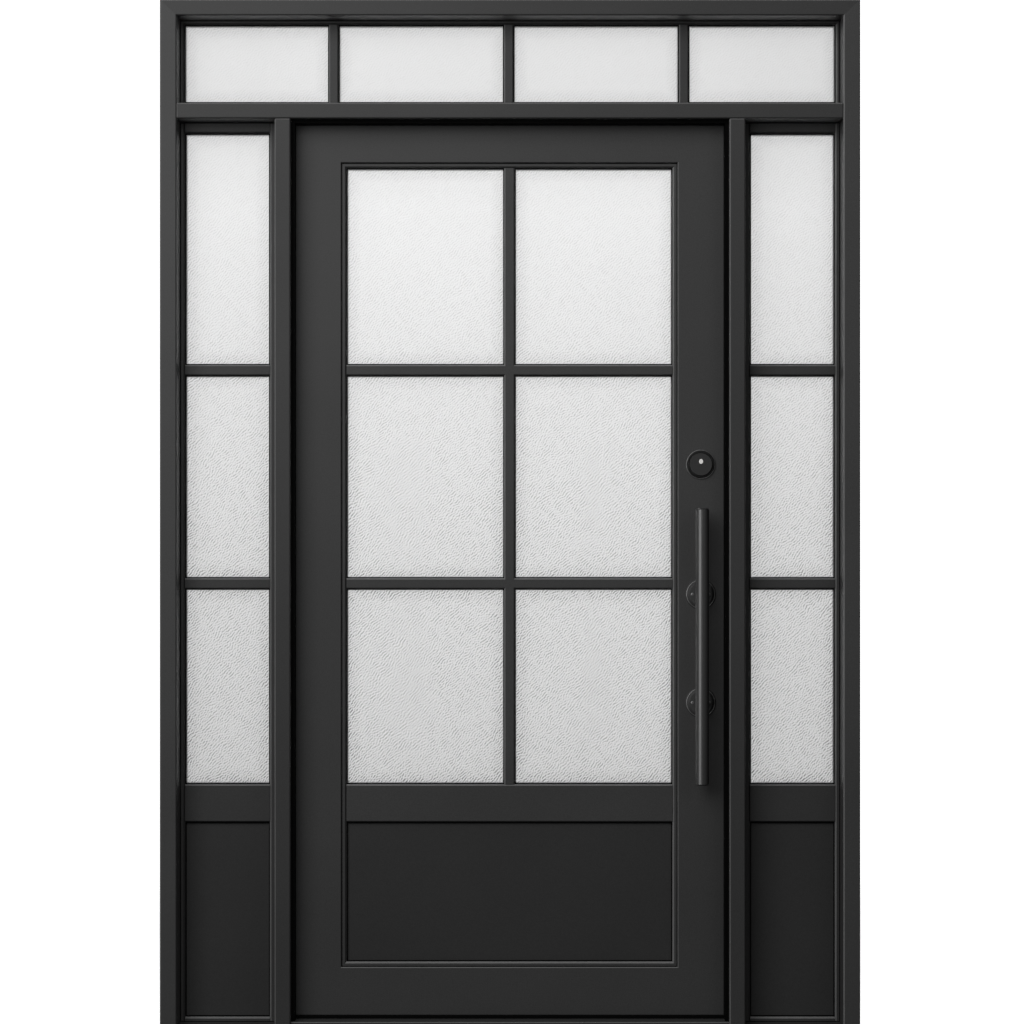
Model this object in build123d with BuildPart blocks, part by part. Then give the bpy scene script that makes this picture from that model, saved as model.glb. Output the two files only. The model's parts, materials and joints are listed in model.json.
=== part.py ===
"""Iron entry door: a glazed leaf hung between two fixed sidelights, under a transom light.

Millimetres. +X is to the right seen from outdoors, +Y points indoors and +Z is up.
The origin is on the floor, under the middle of the doorway, at half the frame's depth.
"""

import os

from build123d import *

os.makedirs("parts", exist_ok=True)

# Outer frame
overall_width = 1654.0
overall_height = 2438.0
frame_depth = 120.0
jamb_face = 40.0
head_face = 38.0
mullion_face = 38.0
transom_bar_face = 37.5
transom_light_height = 206.0
tube_radius = 4.0
tube_end_ease = 2.0

# Doorway
door_opening_width = 1036.0
threshold_height = 22.0
nosing_radius = 2.0
sill_height = 11.5
sill_setback = 10.0

# Weather seal, fixed in front of the leaf
seal_width = 8.5
seal_depth = 45.0
foot_seal_height = 7.5
foot_seal_depth = 6.0

# Leaf
leaf_thickness = 50.0
hinge_gap = 5.0
lock_gap = 7.5
head_gap = 5.0
floor_gap = 6.0
seal_gap = 5.0
stile_width = 111.0
top_rail_height = 91.5
bottom_rail_height = 115.0
leaf_arris_radius = 2.5

# Glazing and panels
bead_depth = 38.0
door_bead = 12.0
sidelight_jamb_bead = 12.0
sidelight_mullion_bead = 17.0
sidelight_head_bead = 25.5
sidelight_foot_bead = 12.0
transom_bead = 10.0
bead_slope = 4.0
bead_shadow_gap = 2.0
shadow_gap_depth = 8.0
sealant_depth = 5.0
bar_chamfer = 3.0
joint_gap = 0.2
gasket_width = 2.5
gasket_thickness = 5.0
glass_thickness = 16.0
glass_clearance = 1.0
muntin_width = 25.5
muntin_row_spacing = 509.0
muntin_rows_drop = 1.5
transom_muntin_width = 23.0
transom_muntin_spacing = 417.5
transom_muntin_shift = -3.0
mid_rail_bottom = 488.0
mid_rail_height = 90.0
panel_thickness = 16.0

# Pull bars, one on each face of the lock stile
hardware_backset = 56.0
pull_diameter = 32.0
pull_length = 655.0
pull_centre_height = 909.0
pull_post_spacing = 258.0
pull_posts_drop = 6.5
pull_projection = 58.0
pull_end_chamfer = 3.0
post_diameter = 18.0
pull_rose_diameter = 73.0
pull_rose_height = 8.0
pull_boss_diameter = 54.0
saddle_clearance = 0.1

# Deadbolt, keyed outdoors with a thumb turn indoors
deadbolt_height = 1341.0
lock_rose_diameter = 70.0
lock_rose_height = 9.0
lock_rose_bevel = 5.0
cylinder_diameter = 56.0
cylinder_height = 13.0
cylinder_edge_chamfer = 2.0
cylinder_clearance = 1.2
plug_width = 9.5
plug_height = 11.5
plug_rise = 7.0
plug_depth = 5.0
plug_proud = 1.0
plug_clearance = 0.1
keyway_width = 1.6
keyway_length = 7.5
keyway_depth = 3.0
turn_length = 36.0
turn_width = 9.0
turn_projection = 22.0
turn_radius = 3.0

# Hinges on the indoor side: the lower half on the mullion, the upper half on the leaf
hinge_end_distance = 238.0
hinge_stand_off = 14.0
knuckle_diameter = 18.0
knuckle_length = 52.0
knuckle_gap = 1.0
pin_diameter = 8.0
pin_clearance = 0.05
pin_shortfall = 6.0
plate_width = 32.0
plate_thickness = 4.0

# Places worked out from the sizes above
half_width = overall_width / 2
frame_front = -frame_depth / 2
frame_back = frame_depth / 2
daylight_edge = half_width - jamb_face
head_bottom = overall_height - head_face
transom_bar_top = head_bottom - transom_light_height
door_opening_height = transom_bar_top - transom_bar_face
doorway_edge = door_opening_width / 2
mullion_outer = doorway_edge + mullion_face
mullion_middle = doorway_edge + mullion_face / 2
sill_front = frame_front + sill_setback

leaf_back = frame_back
leaf_front = leaf_back - leaf_thickness
leaf_left = -doorway_edge + hinge_gap
leaf_right = doorway_edge - lock_gap
leaf_bottom = threshold_height + floor_gap
leaf_top = door_opening_height - head_gap
leaf_middle = (leaf_left + leaf_right) / 2
glazing_middle = (leaf_front + leaf_back) / 2
bead_front = glazing_middle - bead_depth / 2
bead_back = glazing_middle + bead_depth / 2
mid_rail_top = mid_rail_bottom + mid_rail_height
leaf_sight_top = leaf_top - top_rail_height - door_bead
muntin_rows_middle = (mid_rail_top + leaf_sight_top) / 2 - muntin_rows_drop
lower_muntin_height = muntin_rows_middle - muntin_row_spacing / 2
upper_muntin_height = muntin_rows_middle + muntin_row_spacing / 2
seal_back = leaf_front - seal_gap
hardware_x = leaf_right - hardware_backset
hinge_x = -doorway_edge + hinge_gap / 2
hinge_y = frame_back + hinge_stand_off
lowest_hinge = leaf_bottom + hinge_end_distance
highest_hinge = leaf_top - hinge_end_distance
hinge_heights = (lowest_hinge, (lowest_hinge + highest_hinge) / 2, highest_hinge)


class Opening:
    """An upright rectangle seen from outdoors, given by its left, right, bottom and top."""

    def __init__(self, left, right, bottom, top):
        self.left, self.right = left, right
        self.bottom, self.top = bottom, top
        self.width, self.height = right - left, top - bottom
        self.middle = ((left + right) / 2, (bottom + top) / 2)

    def inside(self, margin):
        """The same rectangle with a margin taken off every side."""
        return Opening(
            self.left + margin, self.right - margin, self.bottom + margin, self.top - margin
        )

    def corners(self):
        """Its four corners in order, as points of an outline."""
        return [
            (self.left, self.bottom),
            (self.right, self.bottom),
            (self.right, self.top),
            (self.left, self.top),
        ]


def facing_plane(back):
    """The upright plane at that depth: a sketch on it is extruded towards the outdoors."""
    return Plane.XZ.offset(-back)


def write_node(name, part):
    """Label one finished piece and write it to its own file."""
    part.label = name
    export_step(part, f"parts/{name}.step")


def post_tube(face_middle, face, top):
    """An upright tube of the frame, standing on the floor."""
    with BuildPart() as tube:
        with BuildSketch():
            with Locations((face_middle, 0)):
                RectangleRounded(face, frame_depth, tube_radius)
        extrude(amount=top)
    return tube.part


def beam_tube(bottom, face, half_length):
    """A level tube of the frame, centred on the doorway."""
    with BuildPart() as tube:
        with BuildSketch(Plane.YZ.offset(-half_length)):
            with Locations((0, bottom + face / 2)):
                RectangleRounded(frame_depth, face, tube_radius)
        extrude(amount=2 * half_length)
    return tube.part


def mitre_plane(side):
    """The cut from the outer to the inner corner on that side, with the jamb above the plane."""
    return Plane(
        origin=(side * half_width, 0, overall_height),
        x_dir=(0, 1, 0),
        z_dir=(side * head_face, 0, -jamb_face),
    )


def foot_sill(middle, width, height):
    """A low sill on the floor with rounded nosings."""
    with BuildPart() as sill:
        with Locations((middle, (sill_front + frame_back) / 2, height / 2)):
            Box(width, frame_back - sill_front, height)
        fillet(sill.edges().filter_by(Axis.X).group_by(Axis.Z)[-1], nosing_radius)
    return sill.part


def bar_blank(corners):
    """A square-edged bar as deep as a bead, from its outline seen from outdoors."""
    with BuildPart() as blank:
        with BuildSketch(facing_plane(bead_back)):
            with BuildLine():
                Polyline(*corners, close=True)
            make_face()
        extrude(amount=bead_depth)
    return blank.part


def glazing_bar(left, right, bottom, top, along):
    """A muntin or rail between panes, with square ends and eased long edges."""
    with BuildPart() as bar:
        add(bar_blank(Opening(left, right, bottom, top).corners()))
        chamfer(bar.edges().filter_by(along), bar_chamfer)
    return bar.part


def sloped_bead(corners, along, opening):
    """A bead whose two edges nearest the middle of its opening slope down to the pane."""
    middle = (opening.middle[0], glazing_middle, opening.middle[1])
    with BuildPart() as bead:
        add(bar_blank(corners))
        chamfer(bead.edges().filter_by(along).sort_by_distance(middle)[:2], bead_slope)
    return bead.part


def groove_rings(opening, depth):
    """Rings of a given depth on the floors of the grooves round the beads, outdoors and indoors."""
    inner = opening.inside(bead_shadow_gap)
    outdoor_floor = bead_front + shadow_gap_depth
    indoor_floor = bead_back - shadow_gap_depth
    with BuildPart() as rings:
        for back in (outdoor_floor, indoor_floor + depth):
            with BuildSketch(facing_plane(back)):
                with Locations(opening.middle):
                    Rectangle(opening.width, opening.height)
                    Rectangle(inner.width, inner.height, mode=Mode.SUBTRACT)
            extrude(amount=depth)
    return rings.part


def mitred_beads(opening, width):
    """Four beads round an opening, mitred at its corners with a hairline joint."""
    slip = joint_gap / 2**0.5
    inner = opening.inside(width)
    uprights = [
        [
            (outer_x, opening.bottom + slip),
            (outer_x, opening.top - slip),
            (inner_x, inner.top - slip),
            (inner_x, inner.bottom + slip),
        ]
        for outer_x, inner_x in ((opening.left, inner.left), (opening.right, inner.right))
    ]
    levels = [
        [
            (opening.left + slip, outer_z),
            (opening.right - slip, outer_z),
            (inner.right - slip, inner_z),
            (inner.left + slip, inner_z),
        ]
        for outer_z, inner_z in ((opening.bottom, inner.bottom), (opening.top, inner.top))
    ]
    with BuildPart() as beads:
        for corners in uprights:
            add(sloped_bead(corners, Axis.Z, opening))
        for corners in levels:
            add(sloped_bead(corners, Axis.X, opening))
        add(groove_rings(opening, shadow_gap_depth), mode=Mode.SUBTRACT)
    return beads.part


def butted_beads(outer, inner):
    """Four beads between two outlines: uprights from end to end and level beads between them."""
    level_left, level_right = inner.left + joint_gap, inner.right - joint_gap
    uprights = [
        Opening(outer.left, inner.left, outer.bottom, outer.top),
        Opening(inner.right, outer.right, outer.bottom, outer.top),
    ]
    levels = [
        Opening(level_left, level_right, outer.bottom, inner.bottom),
        Opening(level_left, level_right, inner.top, outer.top),
    ]
    with BuildPart() as beads:
        for bead in uprights:
            add(sloped_bead(bead.corners(), Axis.Z, outer))
        for bead in levels:
            add(sloped_bead(bead.corners(), Axis.X, outer))
        add(groove_rings(outer, shadow_gap_depth), mode=Mode.SUBTRACT)
    return beads.part


def pane_rows(left, right, bottom, top):
    """The three panes one above another between the shared muntin heights."""
    half = muntin_width / 2
    floors = (bottom, lower_muntin_height + half, upper_muntin_height + half)
    ceilings = (lower_muntin_height - half, upper_muntin_height - half, top)
    return [Opening(left, right, low, high) for low, high in zip(floors, ceilings)]


def glass_panes(panes):
    """One sealed glass unit in each pane opening."""
    with BuildPart() as glass:
        for pane in panes:
            unit = pane.inside(glass_clearance)
            with Locations((unit.middle[0], glazing_middle, unit.middle[1])):
                Box(unit.width, glass_thickness, unit.height)
    return glass.part


def pane_gaskets(panes, opening):
    """Black lines: rubber round each pane or panel on both faces, and sealant in the beads' grooves."""
    outdoor_back = glazing_middle - glass_thickness / 2
    indoor_back = glazing_middle + glass_thickness / 2 + gasket_thickness
    with BuildPart() as gaskets:
        for back in (outdoor_back, indoor_back):
            with BuildSketch(facing_plane(back)):
                for pane in panes:
                    with Locations(pane.middle):
                        Rectangle(pane.width, pane.height)
                for pane in panes:
                    sight = pane.inside(gasket_width)
                    with Locations(sight.middle):
                        Rectangle(sight.width, sight.height, mode=Mode.SUBTRACT)
            extrude(amount=gasket_thickness)
        add(groove_rings(opening, sealant_depth))
    return gaskets.part


def flat_panel(opening):
    """A plain insulated steel panel that fills an opening."""
    with BuildPart() as panel:
        with Locations((opening.middle[0], glazing_middle, opening.middle[1])):
            Box(opening.width, panel_thickness, opening.height)
    return panel.part


def turned_part(profile, z, face, outward):
    """A round piece on the lock stile, turned from pairs of radius and height off the leaf's face.

    It is outdoors where outward is -1 and indoors where outward is 1.
    """
    plane = Plane(origin=(hardware_x, face, z), x_dir=(1, 0, 0), z_dir=(0, 0, outward))
    with BuildPart() as turned:
        with BuildSketch(plane):
            with BuildLine():
                Polyline(*profile, close=True)
            make_face()
        revolve(axis=Axis((hardware_x, face, z), (0, 1, 0)))
    return turned.part


# Jambs and head, mitred at the top corners
with BuildPart() as left_jamb:
    add(post_tube(-half_width + jamb_face / 2, jamb_face, overall_height))
    split(bisect_by=mitre_plane(-1), keep=Keep.TOP)
write_node("left_jamb", left_jamb.part)

with BuildPart() as right_jamb:
    add(post_tube(half_width - jamb_face / 2, jamb_face, overall_height))
    split(bisect_by=mitre_plane(1), keep=Keep.TOP)
write_node("right_jamb", right_jamb.part)

with BuildPart() as head:
    add(beam_tube(head_bottom, head_face, half_width))
    split(bisect_by=mitre_plane(-1), keep=Keep.BOTTOM)
    split(bisect_by=mitre_plane(1), keep=Keep.BOTTOM)
write_node("head", head.part)

# Transom bar from jamb to jamb, with the mullions under it
with BuildPart() as transom_bar:
    add(beam_tube(door_opening_height, transom_bar_face, daylight_edge))
    chamfer(transom_bar.faces().filter_by(Axis.X).edges(), tube_end_ease)
write_node("transom_bar", transom_bar.part)

for side_name, side in (("left", -1), ("right", 1)):
    with BuildPart() as mullion:
        add(post_tube(side * mullion_middle, mullion_face, door_opening_height))
        chamfer(mullion.faces().sort_by(Axis.Z)[-1].edges(), tube_end_ease)
    write_node(f"{side_name}_mullion", mullion.part)

# Threshold between the mullions
write_node("door_threshold", foot_sill(0, door_opening_width, threshold_height))

# Weather seal: two legs on the threshold, a strip under the transom bar and a low one at the leaf's foot
seal_middle = seal_back - seal_depth / 2
seal_leg_top = door_opening_height - seal_width - joint_gap
foot_seal_length = door_opening_width - 2 * (seal_width + joint_gap)
with BuildPart() as weather_seal:
    with BuildSketch(Plane.XY.offset(threshold_height)):
        for side in (-1, 1):
            with Locations((side * (doorway_edge - seal_width / 2), seal_middle)):
                Rectangle(seal_width, seal_depth)
    extrude(amount=seal_leg_top - threshold_height)
    with BuildSketch(Plane.YZ.offset(-doorway_edge)):
        with Locations((seal_middle, door_opening_height - seal_width / 2)):
            Rectangle(seal_depth, seal_width)
    extrude(amount=door_opening_width)
    with Locations((0, seal_back - foot_seal_depth / 2, threshold_height + foot_seal_height / 2)):
        Box(foot_seal_length, foot_seal_depth, foot_seal_height)
write_node("weather_seal", weather_seal.part)

# Transom light: mitred beads, upright muntins and four panes
transom_opening = Opening(-daylight_edge, daylight_edge, transom_bar_top, head_bottom)
transom_sight = transom_opening.inside(transom_bead)
transom_stations = [transom_muntin_shift + step * transom_muntin_spacing for step in (-1, 0, 1)]
half_transom_muntin = transom_muntin_width / 2
transom_lefts = [transom_sight.left] + [x + half_transom_muntin for x in transom_stations]
transom_rights = [x - half_transom_muntin for x in transom_stations] + [transom_sight.right]
transom_panes = [
    Opening(left, right, transom_sight.bottom, transom_sight.top)
    for left, right in zip(transom_lefts, transom_rights)
]
with BuildPart() as transom_muntins:
    for left, right in zip(transom_rights[:-1], transom_lefts[1:]):
        add(glazing_bar(left, right, transom_sight.bottom, transom_sight.top, Axis.Z))
write_node("transom_muntins", transom_muntins.part)
write_node("transom_beads", mitred_beads(transom_opening, transom_bead))
write_node("transom_glass", glass_panes(transom_panes))
write_node("transom_gaskets", pane_gaskets(transom_panes, transom_opening))

# Sidelights: a sill, butted beads, and three panes over a rail and a plain panel
for side_name, bay_left, left_bead, right_bead in (
    ("left", -daylight_edge, sidelight_jamb_bead, sidelight_mullion_bead),
    ("right", mullion_outer, sidelight_mullion_bead, sidelight_jamb_bead),
):
    bay_right = bay_left + daylight_edge - mullion_outer
    bay = Opening(bay_left, bay_right, sill_height, door_opening_height)
    sight = Opening(
        bay.left + left_bead,
        bay.right - right_bead,
        bay.bottom + sidelight_foot_bead,
        bay.top - sidelight_head_bead,
    )
    side_panes = pane_rows(sight.left, sight.right, mid_rail_top, sight.top)
    write_node(f"{side_name}_sill", foot_sill(bay.middle[0], bay.width, sill_height))
    with BuildPart() as side_muntins:
        for lower_pane, upper_pane in zip(side_panes[:-1], side_panes[1:]):
            add(glazing_bar(sight.left, sight.right, lower_pane.top, upper_pane.bottom, Axis.X))
    write_node(f"{side_name}_sidelight_muntins", side_muntins.part)
    write_node(f"{side_name}_sidelight_beads", butted_beads(bay, sight))
    side_rail = glazing_bar(sight.left, sight.right, mid_rail_bottom, mid_rail_top, Axis.X)
    write_node(f"{side_name}_sidelight_rail", side_rail)
    panel_opening = Opening(sight.left, sight.right, sight.bottom, mid_rail_bottom)
    write_node(f"{side_name}_sidelight_panel", flat_panel(panel_opening))
    write_node(f"{side_name}_sidelight_glass", glass_panes(side_panes))
    write_node(f"{side_name}_sidelight_gaskets", pane_gaskets([*side_panes, panel_opening], bay))

# Leaf frame: one welded ring with eased edges, parted where the stiles meet the rails
leaf_outline = Opening(leaf_left, leaf_right, leaf_bottom, leaf_top)
leaf_opening = Opening(
    leaf_left + stile_width,
    leaf_right - stile_width,
    leaf_bottom + bottom_rail_height,
    leaf_top - top_rail_height,
)
with BuildPart() as leaf_ring:
    with BuildSketch(facing_plane(leaf_back)):
        with Locations(leaf_outline.middle):
            Rectangle(leaf_outline.width, leaf_outline.height)
        with Locations(leaf_opening.middle):
            Rectangle(leaf_opening.width, leaf_opening.height, mode=Mode.SUBTRACT)
    extrude(amount=leaf_thickness)
    fillet(leaf_ring.faces().filter_by(Axis.Y).edges(), leaf_arris_radius)

hinge_cut = Plane.YZ.offset(leaf_opening.left)
lock_cut = Plane.YZ.offset(leaf_opening.right)
rail_cut = Plane.XY.offset(leaf_opening.middle[1])

with BuildPart() as hinge_stile:
    add(leaf_ring.part)
    split(bisect_by=hinge_cut, keep=Keep.BOTTOM)
write_node("hinge_stile", hinge_stile.part)

with BuildPart() as lock_stile:
    add(leaf_ring.part)
    split(bisect_by=lock_cut, keep=Keep.TOP)
write_node("lock_stile", lock_stile.part)

for rail_name, kept_half in (("top_rail", Keep.TOP), ("bottom_rail", Keep.BOTTOM)):
    with BuildPart() as rail:
        add(leaf_ring.part)
        split(bisect_by=hinge_cut, keep=Keep.TOP)
        split(bisect_by=lock_cut, keep=Keep.BOTTOM)
        split(bisect_by=rail_cut, keep=kept_half)
    write_node(rail_name, rail.part)

# Leaf glazing: mitred beads, a middle rail over a kick panel, a muntin grid and six panes
leaf_sight = leaf_opening.inside(door_bead)
write_node("door_beads", mitred_beads(leaf_opening, door_bead))
door_rail = glazing_bar(leaf_sight.left, leaf_sight.right, mid_rail_bottom, mid_rail_top, Axis.X)
write_node("door_mid_rail", door_rail)
kick_opening = Opening(leaf_sight.left, leaf_sight.right, leaf_sight.bottom, mid_rail_bottom)
write_node("kick_panel", flat_panel(kick_opening))

upright_left = leaf_middle - muntin_width / 2
upright_right = leaf_middle + muntin_width / 2
door_panes = [
    *pane_rows(leaf_sight.left, upright_left, mid_rail_top, leaf_sight.top),
    *pane_rows(upright_right, leaf_sight.right, mid_rail_top, leaf_sight.top),
]
with BuildPart() as door_muntins:
    with BuildSketch(facing_plane(bead_back)):
        with Locations((leaf_middle, (mid_rail_top + leaf_sight.top) / 2)):
            Rectangle(muntin_width, leaf_sight.top - mid_rail_top)
        for height in (lower_muntin_height, upper_muntin_height):
            with Locations((leaf_sight.middle[0], height)):
                Rectangle(leaf_sight.width, muntin_width)
    extrude(amount=bead_depth)
    face_edges = door_muntins.faces().filter_by(Axis.Y).edges()
    chamfer([edge for edge in face_edges if edge.length > 2 * muntin_width], bar_chamfer)
write_node("door_muntins", door_muntins.part)
write_node("door_glass", glass_panes(door_panes))
write_node("door_gaskets", pane_gaskets([*door_panes, kick_opening], leaf_opening))

# Pulls: the same round bar on two posts, outdoors and indoors
pull_sides = ((leaf_front, -1), (leaf_back, 1))
posts_middle = pull_centre_height - pull_posts_drop
post_heights = [posts_middle + side * pull_post_spacing / 2 for side in (-1, 1)]
pull_rose_radius = pull_rose_diameter / 2
boss_radius = pull_boss_diameter / 2
post_radius = post_diameter / 2
post_profile = [
    (0, 0),
    (pull_rose_radius, 0),
    (boss_radius, pull_rose_height),
    (post_radius, pull_rose_height),
    (post_radius, pull_projection),
    (0, pull_projection),
]

with BuildPart() as pull_bars:
    for face, outward in pull_sides:
        with Locations((hardware_x, face + outward * pull_projection, pull_centre_height)):
            Cylinder(pull_diameter / 2, pull_length)
    chamfer(pull_bars.edges().filter_by(GeomType.CIRCLE), pull_end_chamfer)
write_node("pull_bars", pull_bars.part)

with BuildPart() as pull_posts:
    for face, outward in pull_sides:
        for height in post_heights:
            add(turned_part(post_profile, height, face, outward))
        with Locations((hardware_x, face + outward * pull_projection, pull_centre_height)):
            Cylinder(pull_diameter / 2 + saddle_clearance, pull_length, mode=Mode.SUBTRACT)
write_node("pull_posts", pull_posts.part)

# Deadbolt: a bevelled rose on each face, the keyed cylinder outdoors and the thumb turn indoors
lock_rose_radius = lock_rose_diameter / 2
rose_top_radius = lock_rose_radius - lock_rose_bevel
cylinder_radius = cylinder_diameter / 2
rose_bore = cylinder_radius + cylinder_clearance


def rose_profile(bore):
    """Half the section of a bevelled rose with a hole of that radius, or none."""
    return [
        (bore, 0),
        (lock_rose_radius, 0),
        (rose_top_radius, lock_rose_height),
        (bore, lock_rose_height),
    ]


with BuildPart() as lock_roses:
    add(turned_part(rose_profile(rose_bore), deadbolt_height, leaf_front, -1))
    add(turned_part(rose_profile(0), deadbolt_height, leaf_back, 1))
write_node("lock_roses", lock_roses.part)

cylinder_face = leaf_front - cylinder_height
cylinder_profile = [
    (0, 0),
    (cylinder_radius, 0),
    (cylinder_radius, cylinder_height),
    (0, cylinder_height),
]
plug_middle = (hardware_x, deadbolt_height + plug_rise)
with BuildPart() as lock_cylinder:
    add(turned_part(cylinder_profile, deadbolt_height, leaf_front, -1))
    chamfer(lock_cylinder.faces().sort_by(Axis.Y)[0].edges(), cylinder_edge_chamfer)
    with BuildSketch(facing_plane(cylinder_face + plug_depth)):
        with Locations(plug_middle):
            Ellipse(plug_width / 2, plug_height / 2)
    extrude(amount=plug_depth, mode=Mode.SUBTRACT)
write_node("lock_cylinder", lock_cylinder.part)

with BuildPart() as key_plug:
    with BuildSketch(facing_plane(cylinder_face + plug_depth)):
        with Locations(plug_middle):
            Ellipse(plug_width / 2 - plug_clearance, plug_height / 2 - plug_clearance)
    extrude(amount=plug_depth + plug_proud)
    with BuildSketch(facing_plane(cylinder_face - plug_proud + keyway_depth)):
        with Locations(plug_middle):
            Rectangle(keyway_width, keyway_length)
    extrude(amount=keyway_depth, mode=Mode.SUBTRACT)
write_node("key_plug", key_plug.part)

turn_middle = leaf_back + lock_rose_height + turn_projection / 2
with BuildPart() as thumb_turn:
    with Locations((hardware_x, turn_middle, deadbolt_height)):
        Box(turn_width, turn_projection, turn_length)
    fillet(thumb_turn.edges().filter_by(Axis.Y), turn_radius)
write_node("thumb_turn", thumb_turn.part)

# Hinges: each half has a plate, a web and a knuckle, and the pin is fixed in the lower half
knuckle_radius = knuckle_diameter / 2
pin_radius = pin_diameter / 2
web_thickness = knuckle_radius - hinge_gap / 2


def hinge_half_sketch(edge, side):
    """The section of a half whose plate runs off to that side from the edge it is fixed beside."""
    with BuildSketch() as section:
        with Locations((edge + side * plate_width / 2, frame_back + plate_thickness / 2)):
            Rectangle(plate_width, plate_thickness)
        with Locations((edge + side * web_thickness / 2, (frame_back + hinge_y) / 2)):
            Rectangle(web_thickness, hinge_stand_off)
        with Locations((hinge_x, hinge_y)):
            Circle(knuckle_radius)
    return section.sketch


with BuildPart() as hinge_frame_halves:
    for height in hinge_heights:
        foot = height - knuckle_gap / 2 - knuckle_length
        with BuildSketch(Plane.XY.offset(foot)):
            add(hinge_half_sketch(-doorway_edge, -1))
        extrude(amount=knuckle_length)
        with BuildSketch(Plane.XY.offset(foot)):
            with Locations((hinge_x, hinge_y)):
                Circle(pin_radius)
        extrude(amount=2 * knuckle_length + knuckle_gap - pin_shortfall)
write_node("hinge_frame_halves", hinge_frame_halves.part)

with BuildPart() as hinge_leaf_halves:
    for height in hinge_heights:
        with BuildSketch(Plane.XY.offset(height + knuckle_gap / 2)):
            add(hinge_half_sketch(leaf_left, 1))
            with Locations((hinge_x, hinge_y)):
                Circle(pin_radius + pin_clearance, mode=Mode.SUBTRACT)
        extrude(amount=knuckle_length)
write_node("hinge_leaf_halves", hinge_leaf_halves.part)
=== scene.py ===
"""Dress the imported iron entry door: paint, rubber, hardware, rippled glass, light and camera.

Metres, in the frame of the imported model: +X right seen from outdoors, +Y indoors, +Z up.
"""

import json
import math

import bmesh
import bpy
import numpy as np
from mathutils import Matrix, Vector


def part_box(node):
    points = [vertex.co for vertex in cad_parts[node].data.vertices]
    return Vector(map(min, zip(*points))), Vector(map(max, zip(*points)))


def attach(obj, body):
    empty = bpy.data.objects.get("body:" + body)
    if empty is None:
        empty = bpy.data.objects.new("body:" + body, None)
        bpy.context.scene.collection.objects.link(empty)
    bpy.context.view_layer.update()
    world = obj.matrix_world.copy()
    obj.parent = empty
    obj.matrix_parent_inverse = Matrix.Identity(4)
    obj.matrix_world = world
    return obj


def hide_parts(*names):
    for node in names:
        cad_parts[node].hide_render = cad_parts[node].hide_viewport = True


# Camera: straight on, with the picture's middle at a given height of the door
image_pixels = 1024
pixel_size = 0.00236
camera_distance = 7.1
camera_height = 1.2277
object_left_of_middle_pixels = 2
sensor_width_mm = 36.0

# Paints: grey tone, roughness and specular level
frame_look = (0.057, 0.5, 0.3)
# The jambs and the leaf get lighter copies of the frame paint: painted light that evens out the shade on
# them
jamb_lightened_look = (0.072, 0.5, 0.3)
leaf_lightened_look = (0.066, 0.5, 0.3)
panel_look = (0.045, 0.55, 0.3)
hardware_look = (0.021, 0.42, 0.7)
rose_look = (0.02, 0.45, 0.5)
# The rims and the screws of the pull roses get a lighter copy of the satin black with painted edge light: a
# painted highlight
rim_highlight_look = (0.06, 0.35, 1.0)

# Grain of the paints: features a metre and strength of the bump
frame_grain = (420.0, 0.25)
hardware_grain = (700.0, 0.06)
grain_detail = 3.0
grain_depth = 0.0003
grain_tones = (0.88, 1.12)
grain_gloss = 0.05
cloud_scale, cloud_detail = 2.6, 4.0
cloud_tones = (0.93, 1.07)

# Painted highlight and shade on rounded and chamfered edges: paler where they face left or up, darker where
# they face away
painted_edge_highlight = 3.4
painted_edge_shade = 0.6
edge_turn_start, edge_turn_full = 0.1, 0.6
edge_flat_start, edge_flat_full = 0.9, 0.98

# Rubber
rubber_colour = (0.002, 0.002, 0.002)
rubber_specular = 0.08
bloom_scale, bloom_detail = 60.0, 4.0
bloom_tones = (0.8, 1.3)
bloom_roughness = (0.7, 0.85)

# Nickel of the key plug
nickel_colour = (0.95, 0.94, 0.92)
nickel_metallic = 0.3
brushing_scale, brushing_detail = 300.0, 2.0
brushing_stretch = (1.0, 1.0, 0.1)
brushing_tones = (0.92, 1.05)
brushing_roughness = (0.28, 0.42)

# Ripples of the glass: short waves that mostly lean one way, level at the rim
ripple_pitch = 0.0021
ripple_wavelength = 0.0057
ripple_bandwidth = 0.35
ripple_lean = math.radians(135)
ripple_lean_power = 4
ripple_across = 0.12
ripple_height = 0.00034
ripple_deviations = 2.2
ripple_margin = 0.006
ripple_attribute = "ripple"
seeds_per_node = 100

# Tone of the glass, painted shade: darker in the hollows, near the rim, at the foot, in the outer panes and
# a little in the transom light
glass_colour = (0.95, 0.95, 0.95)
glass_roughness = 0.42
glass_ior = 1.45
glass_transmission = 0.75
hollow_low, hollow_high = -0.62, 0.2
rim_attribute = "rim"
rim_width = 0.034
rim_shade = 0.1
rim_hollows = 0.16
foot_height, foot_dim = 0.6, 0.08
even_height, even_shade = 1.2, 0.66
head_height, head_shade = 1.95, 0.2
side_start, side_end, side_dim = 0.45, 0.6, 0.025
transom_light_foot, transom_shade, transom_calm = 2.19, 0.1, 0.12

# Screws: the profile of a head is in shares of its radius and height, from its foot to its socket
screw_profile = ((1.0, 0.0), (1.0, 0.35), (0.86, 0.8), (0.6, 1.0), (0.46, 1.0), (0.42, 0.2))
screw_height = 0.0012
screw_segments = 24
screw_sharp_angle = math.radians(40)
rose_screw_offset = 0.02
rose_screw_radius = 0.0038
pull_rose_height = 0.008
hinge_screw_radius = 0.0042
hinge_screw_inset = 0.0125
hinge_screw_shares = (0.2, 0.8)
hinge_half_height = 0.052
hinge_plate_thickness = 0.004

# Thin raised rims round the roses
rim_tube = 0.0009
rim_segments = 96
rim_tube_segments = 8
lock_rim_radius, lock_rim_height = 0.0338, 0.0026
pull_rim_radius, pull_rim_height = 0.0335, 0.0028

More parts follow.
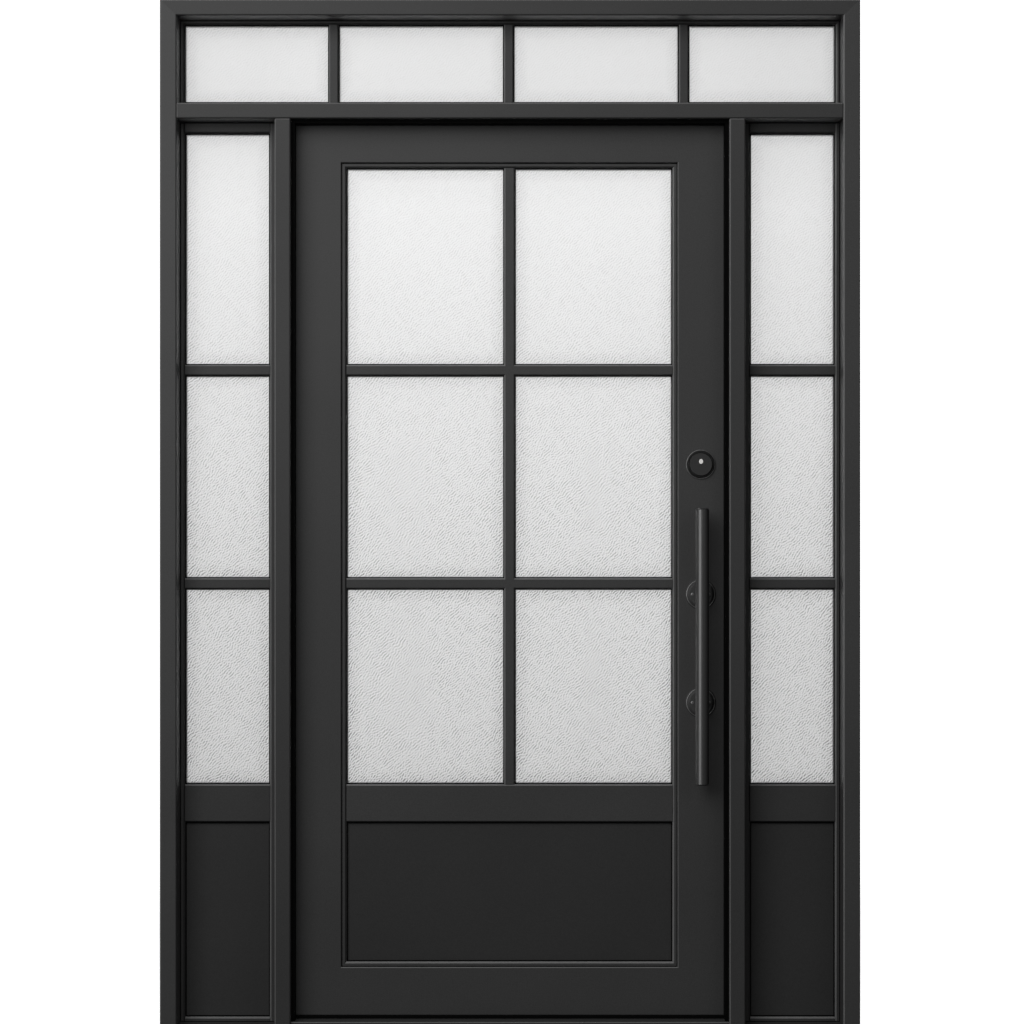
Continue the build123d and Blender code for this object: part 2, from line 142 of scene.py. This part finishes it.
# Studio lights
key_position = (-1.6, -3.4, 3.15)
key_target = (-0.4, 0.0, 1.7)
key_size = (3.4, 3.4)
key_power = 91.0
fill_position = (2.3, -3.2, 2.2)
fill_target = (0.6, 0.0, 1.7)
fill_size = (1.6, 2.4)
fill_power = 7.0
strip_position = (-2.3, -3.0, 1.1)
strip_target = (0.45, 0.0, 1.0)
strip_size = (0.7, 2.6)
strip_power = 88.0

# Surround: the light of the sky in front runs up from a dim ground, and the backdrop behind is white
backdrop_level = 1.26
backdrop_start, backdrop_full = 0.4, 0.8
front_ground_level, front_ground = 0.02, -0.5
front_sky_level, front_sky = 0.16, 0.9
white = (1.0, 1.0, 1.0, 1.0)

# Floor
floor_centre = (0.0, 1.6, -0.001)
floor_radius = 1.8
floor_solid_radius = 0.5
floor_segments = 96
floor_colour = (0.95, 0.95, 0.95)
floor_roughness = 0.8
floor_glow = 0.6
floor_cloud_scale, floor_cloud_detail = 1.5, 2.0
floor_tones = (0.97, 1.0)

# Most values of a noise are in this range
noise_low, noise_high = 0.3, 0.7

# Corners of a solid that are nearer than this are one, and solids are sorted by their rounded places
merge_distance = 1e-6
sorting_digits = 4

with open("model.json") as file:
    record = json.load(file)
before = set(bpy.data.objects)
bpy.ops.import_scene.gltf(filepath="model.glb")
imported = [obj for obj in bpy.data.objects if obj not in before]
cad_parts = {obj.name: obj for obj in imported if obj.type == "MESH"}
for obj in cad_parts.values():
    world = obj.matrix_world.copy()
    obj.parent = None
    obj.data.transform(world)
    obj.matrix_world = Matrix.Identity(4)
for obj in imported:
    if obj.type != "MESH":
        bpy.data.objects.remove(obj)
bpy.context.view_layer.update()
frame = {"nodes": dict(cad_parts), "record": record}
nodes = frame["nodes"]
slot_of_node = {sub["node"]: sub["material_slot"] for sub in frame["record"]["subparts"]}
bodies = frame["record"]["behaviour"]["bodies"]
body_of_node = {node: body for body, members in bodies.items() for node in members}


def new_material(name):
    """A new material, its node tree and its surface shader."""
    material = bpy.data.materials.new(name)
    material.use_nodes = True
    tree = material.node_tree
    return material, tree, tree.nodes["Principled BSDF"]


def object_noise(tree, scale, detail, stretch=(1.0, 1.0, 1.0)):
    """Noise fixed to the object, in features a metre, which may be stretched along an axis."""
    coords = tree.nodes.new("ShaderNodeTexCoord")
    mapping = tree.nodes.new("ShaderNodeMapping")
    mapping.vector_type = "TEXTURE"
    mapping.inputs["Scale"].default_value = stretch
    noise = tree.nodes.new("ShaderNodeTexNoise")
    noise.inputs["Scale"].default_value = scale
    noise.inputs["Detail"].default_value = detail
    tree.links.new(coords.outputs["Object"], mapping.inputs["Vector"])
    tree.links.new(mapping.outputs["Vector"], noise.inputs["Vector"])
    return noise.outputs["Fac"]


def spread(tree, value, from_low, from_high, low, high, interpolation="LINEAR"):
    """A varying value spread from one range over another and kept inside it."""
    node = tree.nodes.new("ShaderNodeMapRange")
    node.interpolation_type = interpolation
    node.inputs["From Min"].default_value = from_low
    node.inputs["From Max"].default_value = from_high
    node.inputs["To Min"].default_value = low
    node.inputs["To Max"].default_value = high
    tree.links.new(value, node.inputs["Value"])
    return node.outputs["Result"]


def remap(tree, noise, low, high):
    """A noise spread over another range."""
    return spread(tree, noise, noise_low, noise_high, low, high)


def scaled_colour(tree, colour, factor):
    """A colour made lighter and darker by a varying factor."""
    node = tree.nodes.new("ShaderNodeVectorMath")
    node.operation = "SCALE"
    node.inputs[0].default_value = colour
    tree.links.new(factor, node.inputs["Scale"])
    return node.outputs["Vector"]


def combine(tree, operation, first, second):
    """Two varying values put together by a named operation."""
    node = tree.nodes.new("ShaderNodeMath")
    node.operation = operation
    tree.links.new(first, node.inputs[0])
    tree.links.new(second, node.inputs[1])
    return node.outputs["Value"]


def squared(tree, value):
    """A varying value times itself."""
    return combine(tree, "MULTIPLY", value, value)


def blended(tree, factor, value, fixed):
    """A varying value that gives way to a fixed one as a factor goes from 0 to 1."""
    node = tree.nodes.new("ShaderNodeMix")
    node.inputs["B"].default_value = fixed
    tree.links.new(factor, node.inputs["Factor"])
    tree.links.new(value, node.inputs["A"])
    return node.outputs["Result"]


def parts_of(tree, output):
    """The three parts of a place, normal or direction that a coordinate node gives."""
    coords = tree.nodes.new("ShaderNodeTexCoord")
    split = tree.nodes.new("ShaderNodeSeparateXYZ")
    tree.links.new(coords.outputs[output], split.inputs["Vector"])
    return [split.outputs[axis] for axis in "XYZ"]


def point_value(tree, name):
    """A value that the points of a mesh carry."""
    node = tree.nodes.new("ShaderNodeAttribute")
    node.attribute_name = name
    return node.outputs["Fac"]


def bump(tree, height, distance, strength):
    """A normal from a height map."""
    node = tree.nodes.new("ShaderNodeBump")
    node.inputs["Distance"].default_value = distance
    node.inputs["Strength"].default_value = strength
    tree.links.new(height, node.inputs["Height"])
    return node.outputs["Normal"]


def painted_edge_tone(tree):
    """Painted highlight and shade on edges: a factor for the paint, paler where a surface between the main
    directions faces left or up, darker where it faces away, and 1 elsewhere.
    """
    across, _, up = parts_of(tree, "Normal")
    facing = combine(tree, "SUBTRACT", up, across)
    lit = spread(tree, facing, edge_turn_start, edge_turn_full, 1.0, painted_edge_highlight)
    shaded = spread(tree, facing, -edge_turn_full, -edge_turn_start, painted_edge_shade, 1.0)
    tone = combine(tree, "MULTIPLY", lit, shaded)
    straightness = combine(tree, "MAXIMUM", squared(tree, up), squared(tree, across))
    flatness = spread(tree, straightness, edge_flat_start, edge_flat_full, 0.0, 1.0)
    return blended(tree, flatness, tone, 1.0)


def powder_coat(name, look, grain=frame_grain, edge_light_painted=True):
    """Satin powder coat: a fine grain in its tone, gloss and surface, broad soft clouds, and if asked a
    painted highlight and shade on its edges.
    """
    grey, roughness, specular = look
    grain_scale, grain_strength = grain
    material, tree, shader = new_material(name)
    fine = object_noise(tree, grain_scale, grain_detail)
    clouds = object_noise(tree, cloud_scale, cloud_detail)
    tone = combine(tree, "MULTIPLY", remap(tree, fine, *grain_tones), remap(tree, clouds, *cloud_tones))
    # Painted highlight on edges that face left or up, painted shade on those that face away
    if edge_light_painted:
        tone = combine(tree, "MULTIPLY", tone, painted_edge_tone(tree))
    gloss = remap(tree, fine, roughness - grain_gloss, roughness + grain_gloss)
    tree.links.new(scaled_colour(tree, (grey, grey, grey), tone), shader.inputs["Base Color"])
    tree.links.new(gloss, shader.inputs["Roughness"])
    tree.links.new(bump(tree, fine, grain_depth, grain_strength), shader.inputs["Normal"])
    shader.inputs["Specular IOR Level"].default_value = specular
    return material


def black_rubber(name):
    """Matt black rubber with a faint bloom."""
    material, tree, shader = new_material(name)
    bloom = object_noise(tree, bloom_scale, bloom_detail)
    tone = remap(tree, bloom, *bloom_tones)
    tree.links.new(scaled_colour(tree, rubber_colour, tone), shader.inputs["Base Color"])
    tree.links.new(remap(tree, bloom, *bloom_roughness), shader.inputs["Roughness"])
    shader.inputs["Specular IOR Level"].default_value = rubber_specular
    return material


def brushed_nickel(name):
    """Pale nickel with fine brushing, only partly metallic so that it stays bright in dark surroundings."""
    material, tree, shader = new_material(name)
    brushing = object_noise(tree, brushing_scale, brushing_detail, brushing_stretch)
    tone = remap(tree, brushing, *brushing_tones)
    tree.links.new(scaled_colour(tree, nickel_colour, tone), shader.inputs["Base Color"])
    tree.links.new(remap(tree, brushing, *brushing_roughness), shader.inputs["Roughness"])
    shader.inputs["Metallic"].default_value = nickel_metallic
    return material


def rippled_glass(name):
    """Obscure glass: it lets soft light through, with painted shade that makes it darker in its hollows, at
    its foot and rim.
    """
    material, tree, shader = new_material(name)
    # Painted shade: darker in the hollows of the ripples, near the rim, towards the foot, in the outer
    # panes and in the transom light
    ripples = point_value(tree, ripple_attribute)
    hollows = spread(tree, ripples, hollow_low, hollow_high, 1.0, 0.0)
    nearness = point_value(tree, rim_attribute)
    rim = spread(tree, nearness, 0.0, 1.0, 0.0, rim_shade)
    rim_depth = spread(tree, nearness, 0.0, 1.0, 0.0, rim_hollows)
    across, _, height = parts_of(tree, "Object")
    shade = spread(tree, height, even_height, head_height, even_shade, head_shade)
    dim = spread(tree, height, foot_height, even_height, foot_dim, 0.0)
    transom = spread(tree, height, head_height, transom_light_foot, 0.0, transom_shade)
    calm = spread(tree, height, head_height, transom_light_foot, 0.0, transom_calm)
    depth = combine(tree, "ADD", combine(tree, "SUBTRACT", shade, calm), rim_depth)
    dark = combine(tree, "MULTIPLY", depth, hollows)
    sides = spread(tree, squared(tree, across), side_start**2, side_end**2, 0.0, side_dim)
    for more in (dim, transom, rim, sides):
        dark = combine(tree, "ADD", dark, more)
    tone = spread(tree, dark, 0.0, 1.0, 1.0, 0.0)
    tree.links.new(scaled_colour(tree, glass_colour, tone), shader.inputs["Base Color"])
    shader.inputs["Roughness"].default_value = glass_roughness
    shader.inputs["IOR"].default_value = glass_ior
    shader.inputs["Transmission Weight"].default_value = glass_transmission
    return material


def fading_floor(name):
    """Pale floor that fades out towards its rim."""
    material, tree, shader = new_material(name)
    across, along, _ = parts_of(tree, "Object")
    square = combine(tree, "ADD", squared(tree, across), squared(tree, along))
    fade = spread(tree, square, floor_solid_radius**2, floor_radius**2, 1.0, 0.0)
    tone = remap(tree, object_noise(tree, floor_cloud_scale, floor_cloud_detail), *floor_tones)
    tree.links.new(scaled_colour(tree, floor_colour, tone), shader.inputs["Base Color"])
    tree.links.new(fade, shader.inputs["Alpha"])
    shader.inputs["Roughness"].default_value = floor_roughness
    shader.inputs["Emission Color"].default_value = white
    shader.inputs["Emission Strength"].default_value = floor_glow
    return material


def dress(piece, material):
    """Give a piece one material in place of those that it has."""
    piece.data.materials.clear()
    piece.data.materials.append(material)


# Every node gets the material of its slot, and some another: the leaf and the jambs lighter copies of the
# frame paint, which is painted light against their shade, the panels a darker paint, and the lock roses and
# pull posts a satin black of their own
materials = {
    "frame_paint": powder_coat("frame_powder_coat", frame_look),
    "hardware": powder_coat("hardware_satin_black", hardware_look, hardware_grain, edge_light_painted=False),
    "black_rubber": black_rubber("weather_rubber"),
    "nickel": brushed_nickel("key_plug_nickel"),
    "obscure_glass": rippled_glass("obscure_glass"),
}
panel_paint = powder_coat("panel_powder_coat", panel_look)
jamb_lightened_paint = powder_coat("jamb_powder_coat_painted_light", jamb_lightened_look)
leaf_lightened_paint = powder_coat("leaf_powder_coat_painted_light", leaf_lightened_look)
rose_paint = powder_coat("rose_satin_black", rose_look, hardware_grain, edge_light_painted=False)
# A lighter satin black with painted edge light: painted highlight on the rims and rose screws
rim_highlight_paint = powder_coat("rim_satin_black_painted_highlight", rim_highlight_look, hardware_grain)

for node_name, node_object in nodes.items():
    node_material = materials[slot_of_node[node_name]]
    if slot_of_node[node_name] == "frame_paint" and body_of_node[node_name] == "leaf":
        node_material = leaf_lightened_paint
    if node_name.endswith("jamb"):
        node_material = jamb_lightened_paint
    if node_name.endswith("panel"):
        node_material = panel_paint
    if node_name in ("lock_roses", "pull_posts"):
        node_material = rose_paint
    dress(node_object, node_material)


def loose_boxes(node_object):
    """The lowest and highest corner of each separate solid of a node, in a steady order."""
    parts = bmesh.new()
    parts.from_mesh(node_object.data)
    bmesh.ops.remove_doubles(parts, verts=parts.verts, dist=merge_distance)
    unseen = set(parts.verts)
    boxes = []
    while unseen:
        reached = [unseen.pop()]
        solid = []
        while reached:
            vert = reached.pop()
            solid.append(vert.co.copy())
            for edge in vert.link_edges:
                other = edge.other_vert(vert)
                if other in unseen:
                    unseen.remove(other)
                    reached.append(other)
        low = Vector([min(point[axis] for point in solid) for axis in range(3)])
        high = Vector([max(point[axis] for point in solid) for axis in range(3)])
        boxes.append((low, high))
    parts.free()
    return sorted(boxes, key=lambda box: (round(box[0].z, sorting_digits), round(box[0].x, sorting_digits)))


def ripple_heights(columns, rows, pitch_x, pitch_z, seed):
    """Heights from -1 to 1 of short ripples that mostly lean one way, from seeded noise in a band."""
    noise = np.random.default_rng(seed).standard_normal((rows, columns))
    wave_x, wave_z = np.meshgrid(np.fft.fftfreq(columns, pitch_x), np.fft.fftfreq(rows, pitch_z))
    middle = 1.0 / ripple_wavelength
    band = np.exp(-(((np.hypot(wave_x, wave_z) - middle) / (ripple_bandwidth * middle)) ** 2))
    leaning = np.cos(np.arctan2(wave_z, wave_x) - ripple_lean) ** ripple_lean_power
    heights = np.fft.ifft2(np.fft.fft2(noise) * band * (ripple_across + leaning)).real
    return np.clip(heights / (ripple_deviations * heights.std()), -1.0, 1.0)


def rippled_pane(name, low, high, seed):
    """A closed pane with ripples on its outdoor face, flat at the edge that the gasket covers."""
    columns = round((high.x - low.x) / ripple_pitch) + 1
    rows = round((high.z - low.z) / ripple_pitch) + 1
    across = np.linspace(low.x, high.x, columns)
    up = np.linspace(low.z, high.z, rows)
    grid_x, grid_z = np.meshgrid(across, up)
    heights = ripple_heights(columns, rows, across[1] - across[0], up[1] - up[0], seed)
    to_edge = np.minimum.reduce([grid_x - low.x, high.x - grid_x, grid_z - low.z, high.z - grid_z])
    fade = np.clip(to_edge / ripple_margin, 0.0, 1.0)
    grid_y = low.y + ripple_height * fade * (1.0 - heights)
    front = np.column_stack([grid_x.ravel(), grid_y.ravel(), grid_z.ravel()])

    index = np.arange(rows * columns).reshape(rows, columns)
    quads = np.column_stack(
        [index[:-1, :-1].ravel(), index[:-1, 1:].ravel(), index[1:, 1:].ravel(), index[1:, :-1].ravel()]
    )
    rim = np.concatenate([index[0, :-1], index[:-1, -1], index[-1, :0:-1], index[:0:-1, 0]])
    back = front[rim].copy()
    back[:, 1] = high.y
    back_index = np.arange(len(rim)) + len(front)
    walls = np.column_stack([np.roll(rim, -1), rim, back_index, np.roll(back_index, -1)])
    faces = quads.tolist() + walls.tolist() + [back_index[::-1].tolist()]

    mesh = bpy.data.meshes.new(name)
    mesh.from_pydata(np.vstack([front, back]).tolist(), [], faces)
    nearness = np.clip(1.0 - to_edge / rim_width, 0.0, 1.0)
    for attribute, values in ((ripple_attribute, fade * heights), (rim_attribute, nearness)):
        carried = mesh.attributes.new(attribute, "FLOAT", "POINT")
        carried.data.foreach_set("value", np.concatenate([values.ravel(), np.zeros(len(rim))]))
    smooth = np.zeros(len(mesh.polygons), dtype=bool)
    smooth[: len(quads)] = True
    mesh.polygons.foreach_set("use_smooth", smooth)
    pane = bpy.data.objects.new(name, mesh)
    bpy.context.scene.collection.objects.link(pane)
    return pane


# A rippled pane in place of each flat one
glass_nodes = [name for name in nodes if slot_of_node[name] == "obscure_glass"]
for node_number, glass_node in enumerate(sorted(glass_nodes)):
    for pane_number, (low, high) in enumerate(loose_boxes(nodes[glass_node])):
        pane_name = f"{glass_node}_pane_{pane_number + 1}"
        pane = rippled_pane(pane_name, low, high, seeds_per_node * node_number + pane_number)
        dress(pane, materials["obscure_glass"])
        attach(pane, body_of_node[glass_node])
        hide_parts(glass_node)


def add_screw(mesh, centre, outward, radius):
    """A low domed screw head with a round socket, standing on a face that looks along outward."""
    turn = Vector((0.0, 0.0, 1.0)).rotation_difference(Vector(outward)).to_matrix().to_4x4()
    place = Matrix.Translation(centre) @ turn
    rings = []
    for radius_share, height_share in screw_profile:
        ring_radius = radius_share * radius
        ring = []
        for step in range(screw_segments):
            angle = 2 * math.pi * step / screw_segments
            across, along = ring_radius * math.cos(angle), ring_radius * math.sin(angle)
            ring.append(mesh.verts.new(place @ Vector((across, along, height_share * screw_height))))
        rings.append(ring)
    for lower, upper in zip(rings[:-1], rings[1:]):
        for step in range(screw_segments):
            after = (step + 1) % screw_segments
            mesh.faces.new([lower[step], lower[after], upper[after], upper[step]])
    mesh.faces.new(rings[-1])
    mesh.faces.new(rings[0][::-1])


def add_rim(mesh, centre, radius):
    """A thin round ring about a line along Y."""
    rings = []
    for step in range(rim_segments):
        angle = 2 * math.pi * step / rim_segments
        outward = Vector((math.cos(angle), 0.0, math.sin(angle)))
        ring = []
        for turn in range(rim_tube_segments):
            roll = 2 * math.pi * turn / rim_tube_segments
            offset = (radius + rim_tube * math.cos(roll)) * outward
            offset.y = rim_tube * math.sin(roll)
            ring.append(mesh.verts.new(centre + offset))
        rings.append(ring)
    for step, ring in enumerate(rings):
        after = rings[(step + 1) % rim_segments]
        for turn in range(rim_tube_segments):
            up = (turn + 1) % rim_tube_segments
            mesh.faces.new([ring[turn], ring[up], after[up], after[turn]])


def hardware_piece(name, body, shape, paint):
    """A piece of hardware on a body, from a shape that is used up."""
    mesh = bpy.data.meshes.new(name)
    shape.to_mesh(mesh)
    shape.free()
    for polygon in mesh.polygons:
        polygon.use_smooth = True
    piece = bpy.data.objects.new(name, mesh)
    bpy.context.scene.collection.objects.link(piece)
    dress(piece, paint)
    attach(piece, body)
    return piece


def screw_piece(name, body, screws, paint):
    """One piece that holds several screws of a body."""
    heads = bmesh.new()
    for centre, outward, radius in screws:
        add_screw(heads, centre, outward, radius)
    piece = hardware_piece(name, body, heads, paint)
    piece.data.set_sharp_from_angle(angle=screw_sharp_angle)
    return piece


# Screws beside the pull posts, on the flat of each rose
leaf_front, leaf_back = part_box("hinge_stile")[0].y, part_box("hinge_stile")[1].y
rose_screws = []
for low, high in loose_boxes(nodes["pull_posts"]):
    middle = (low + high) / 2
    outdoors = middle.y < leaf_front
    outward = (0.0, -1.0, 0.0) if outdoors else (0.0, 1.0, 0.0)
    rose_face = leaf_front - pull_rose_height if outdoors else leaf_back + pull_rose_height
    for side in (-1, 1):
        place = Vector((middle.x + side * rose_screw_offset, rose_face, middle.z))
        rose_screws.append((place, outward, rose_screw_radius))
pull_rose_screws = screw_piece("pull_rose_screws", "leaf", rose_screws, rim_highlight_paint)

# Rims round the roses of the lock and the pulls
rims = bmesh.new()
for rose_node, radius, height in (
    ("lock_roses", lock_rim_radius, lock_rim_height),
    ("pull_posts", pull_rim_radius, pull_rim_height),
):
    for low, high in loose_boxes(nodes[rose_node]):
        middle = (low + high) / 2
        middle.y = leaf_front - height if middle.y < leaf_front else leaf_back + height
        add_rim(rims, middle, radius)
bmesh.ops.recalc_face_normals(rims, faces=rims.faces)
rose_rims = hardware_piece("rose_rims", "leaf", rims, rim_highlight_paint)

# Screws in the hinge plates, indoors
plate_face = leaf_back + hinge_plate_thickness
for half_name, body, side in (("hinge_frame_halves", "frame", -1), ("hinge_leaf_halves", "leaf", 1)):
    hinge_screws = []
    for low, high in loose_boxes(nodes[half_name]):
        plate_end = low.x if side < 0 else high.x
        for share in hinge_screw_shares:
            height = low.z + share * hinge_half_height
            place = Vector((plate_end - side * hinge_screw_inset, plate_face, height))
            hinge_screws.append((place, (0.0, 1.0, 0.0), hinge_screw_radius))
    screw_piece(half_name + "_screws", body, hinge_screws, materials["hardware"])


def studio_world():
    """White to look at, also through the glass; as light, white behind and dim in front of the door."""
    world = bpy.data.worlds.new("studio")
    world.use_nodes = True
    tree = world.node_tree
    _, indoors, up = parts_of(tree, "Generated")
    front = spread(tree, up, front_ground, front_sky, front_ground_level, front_sky_level, "SMOOTHSTEP")
    behind = spread(tree, indoors, backdrop_start, backdrop_full, 0.0, 1.0, "SMOOTHSTEP")
    path = tree.nodes.new("ShaderNodeLightPath")
    seen, seen_through = path.outputs["Is Camera Ray"], path.outputs["Is Transmission Ray"]
    looked_at = combine(tree, "MAXIMUM", seen, seen_through)
    level = blended(tree, combine(tree, "MAXIMUM", looked_at, behind), front, backdrop_level)
    background = tree.nodes["Background"]
    background.inputs["Color"].default_value = white
    tree.links.new(level, background.inputs["Strength"])
    bpy.context.scene.world = world


def aim(piece, position, target):
    """Put a light or camera at a place, looking at a target."""
    piece.location = position
    piece.rotation_euler = (Vector(target) - Vector(position)).to_track_quat("-Z", "Y").to_euler()


def softbox(name, position, target, size, power):
    """A rectangular light, wide by tall, that isn't seen through the glass."""
    light = bpy.data.lights.new(name, "AREA")
    light.shape = "RECTANGLE"
    light.size, light.size_y = size
    light.energy = power
    box = bpy.data.objects.new(name, light)
    bpy.context.scene.collection.objects.link(box)
    box.visible_transmission = False
    aim(box, position, target)
    return box


studio_world()
softbox("key_softbox", key_position, key_target, key_size, key_power)
softbox("fill_softbox", fill_position, fill_target, fill_size, fill_power)
pull_strip = softbox("pull_strip", strip_position, strip_target, strip_size, strip_power)

# The strip lights the pulls, their screws, the rims and the key plug alone, for their highlights
lit_hardware = bpy.data.collections.new("lit_by_pull_strip")
for node_name, node_object in nodes.items():
    if node_name in ("pull_bars", "pull_posts", "key_plug"):
        lit_hardware.objects.link(node_object)
lit_hardware.objects.link(pull_rose_screws)
lit_hardware.objects.link(rose_rims)
pull_strip.light_linking.receiver_collection = lit_hardware

bpy.ops.mesh.primitive_circle_add(
    vertices=floor_segments, radius=floor_radius, fill_type="NGON", location=floor_centre
)
floor = bpy.context.object
floor.name = "studio_floor"
dress(floor, fading_floor("studio_floor"))

camera = bpy.data.cameras.new("photo_camera")
camera.sensor_width = sensor_width_mm
camera.lens = sensor_width_mm * camera_distance / (image_pixels * pixel_size)
camera_object = bpy.data.objects.new("photo_camera", camera)
bpy.context.scene.collection.objects.link(camera_object)
camera_x = object_left_of_middle_pixels * pixel_size
camera_place = (camera_x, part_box("left_jamb")[0].y - camera_distance, camera_height)
aim(camera_object, camera_place, (camera_x, 0.0, camera_height))
bpy.context.scene.camera = camera_object
bpy.context.scene.view_settings.view_transform = "Standard"
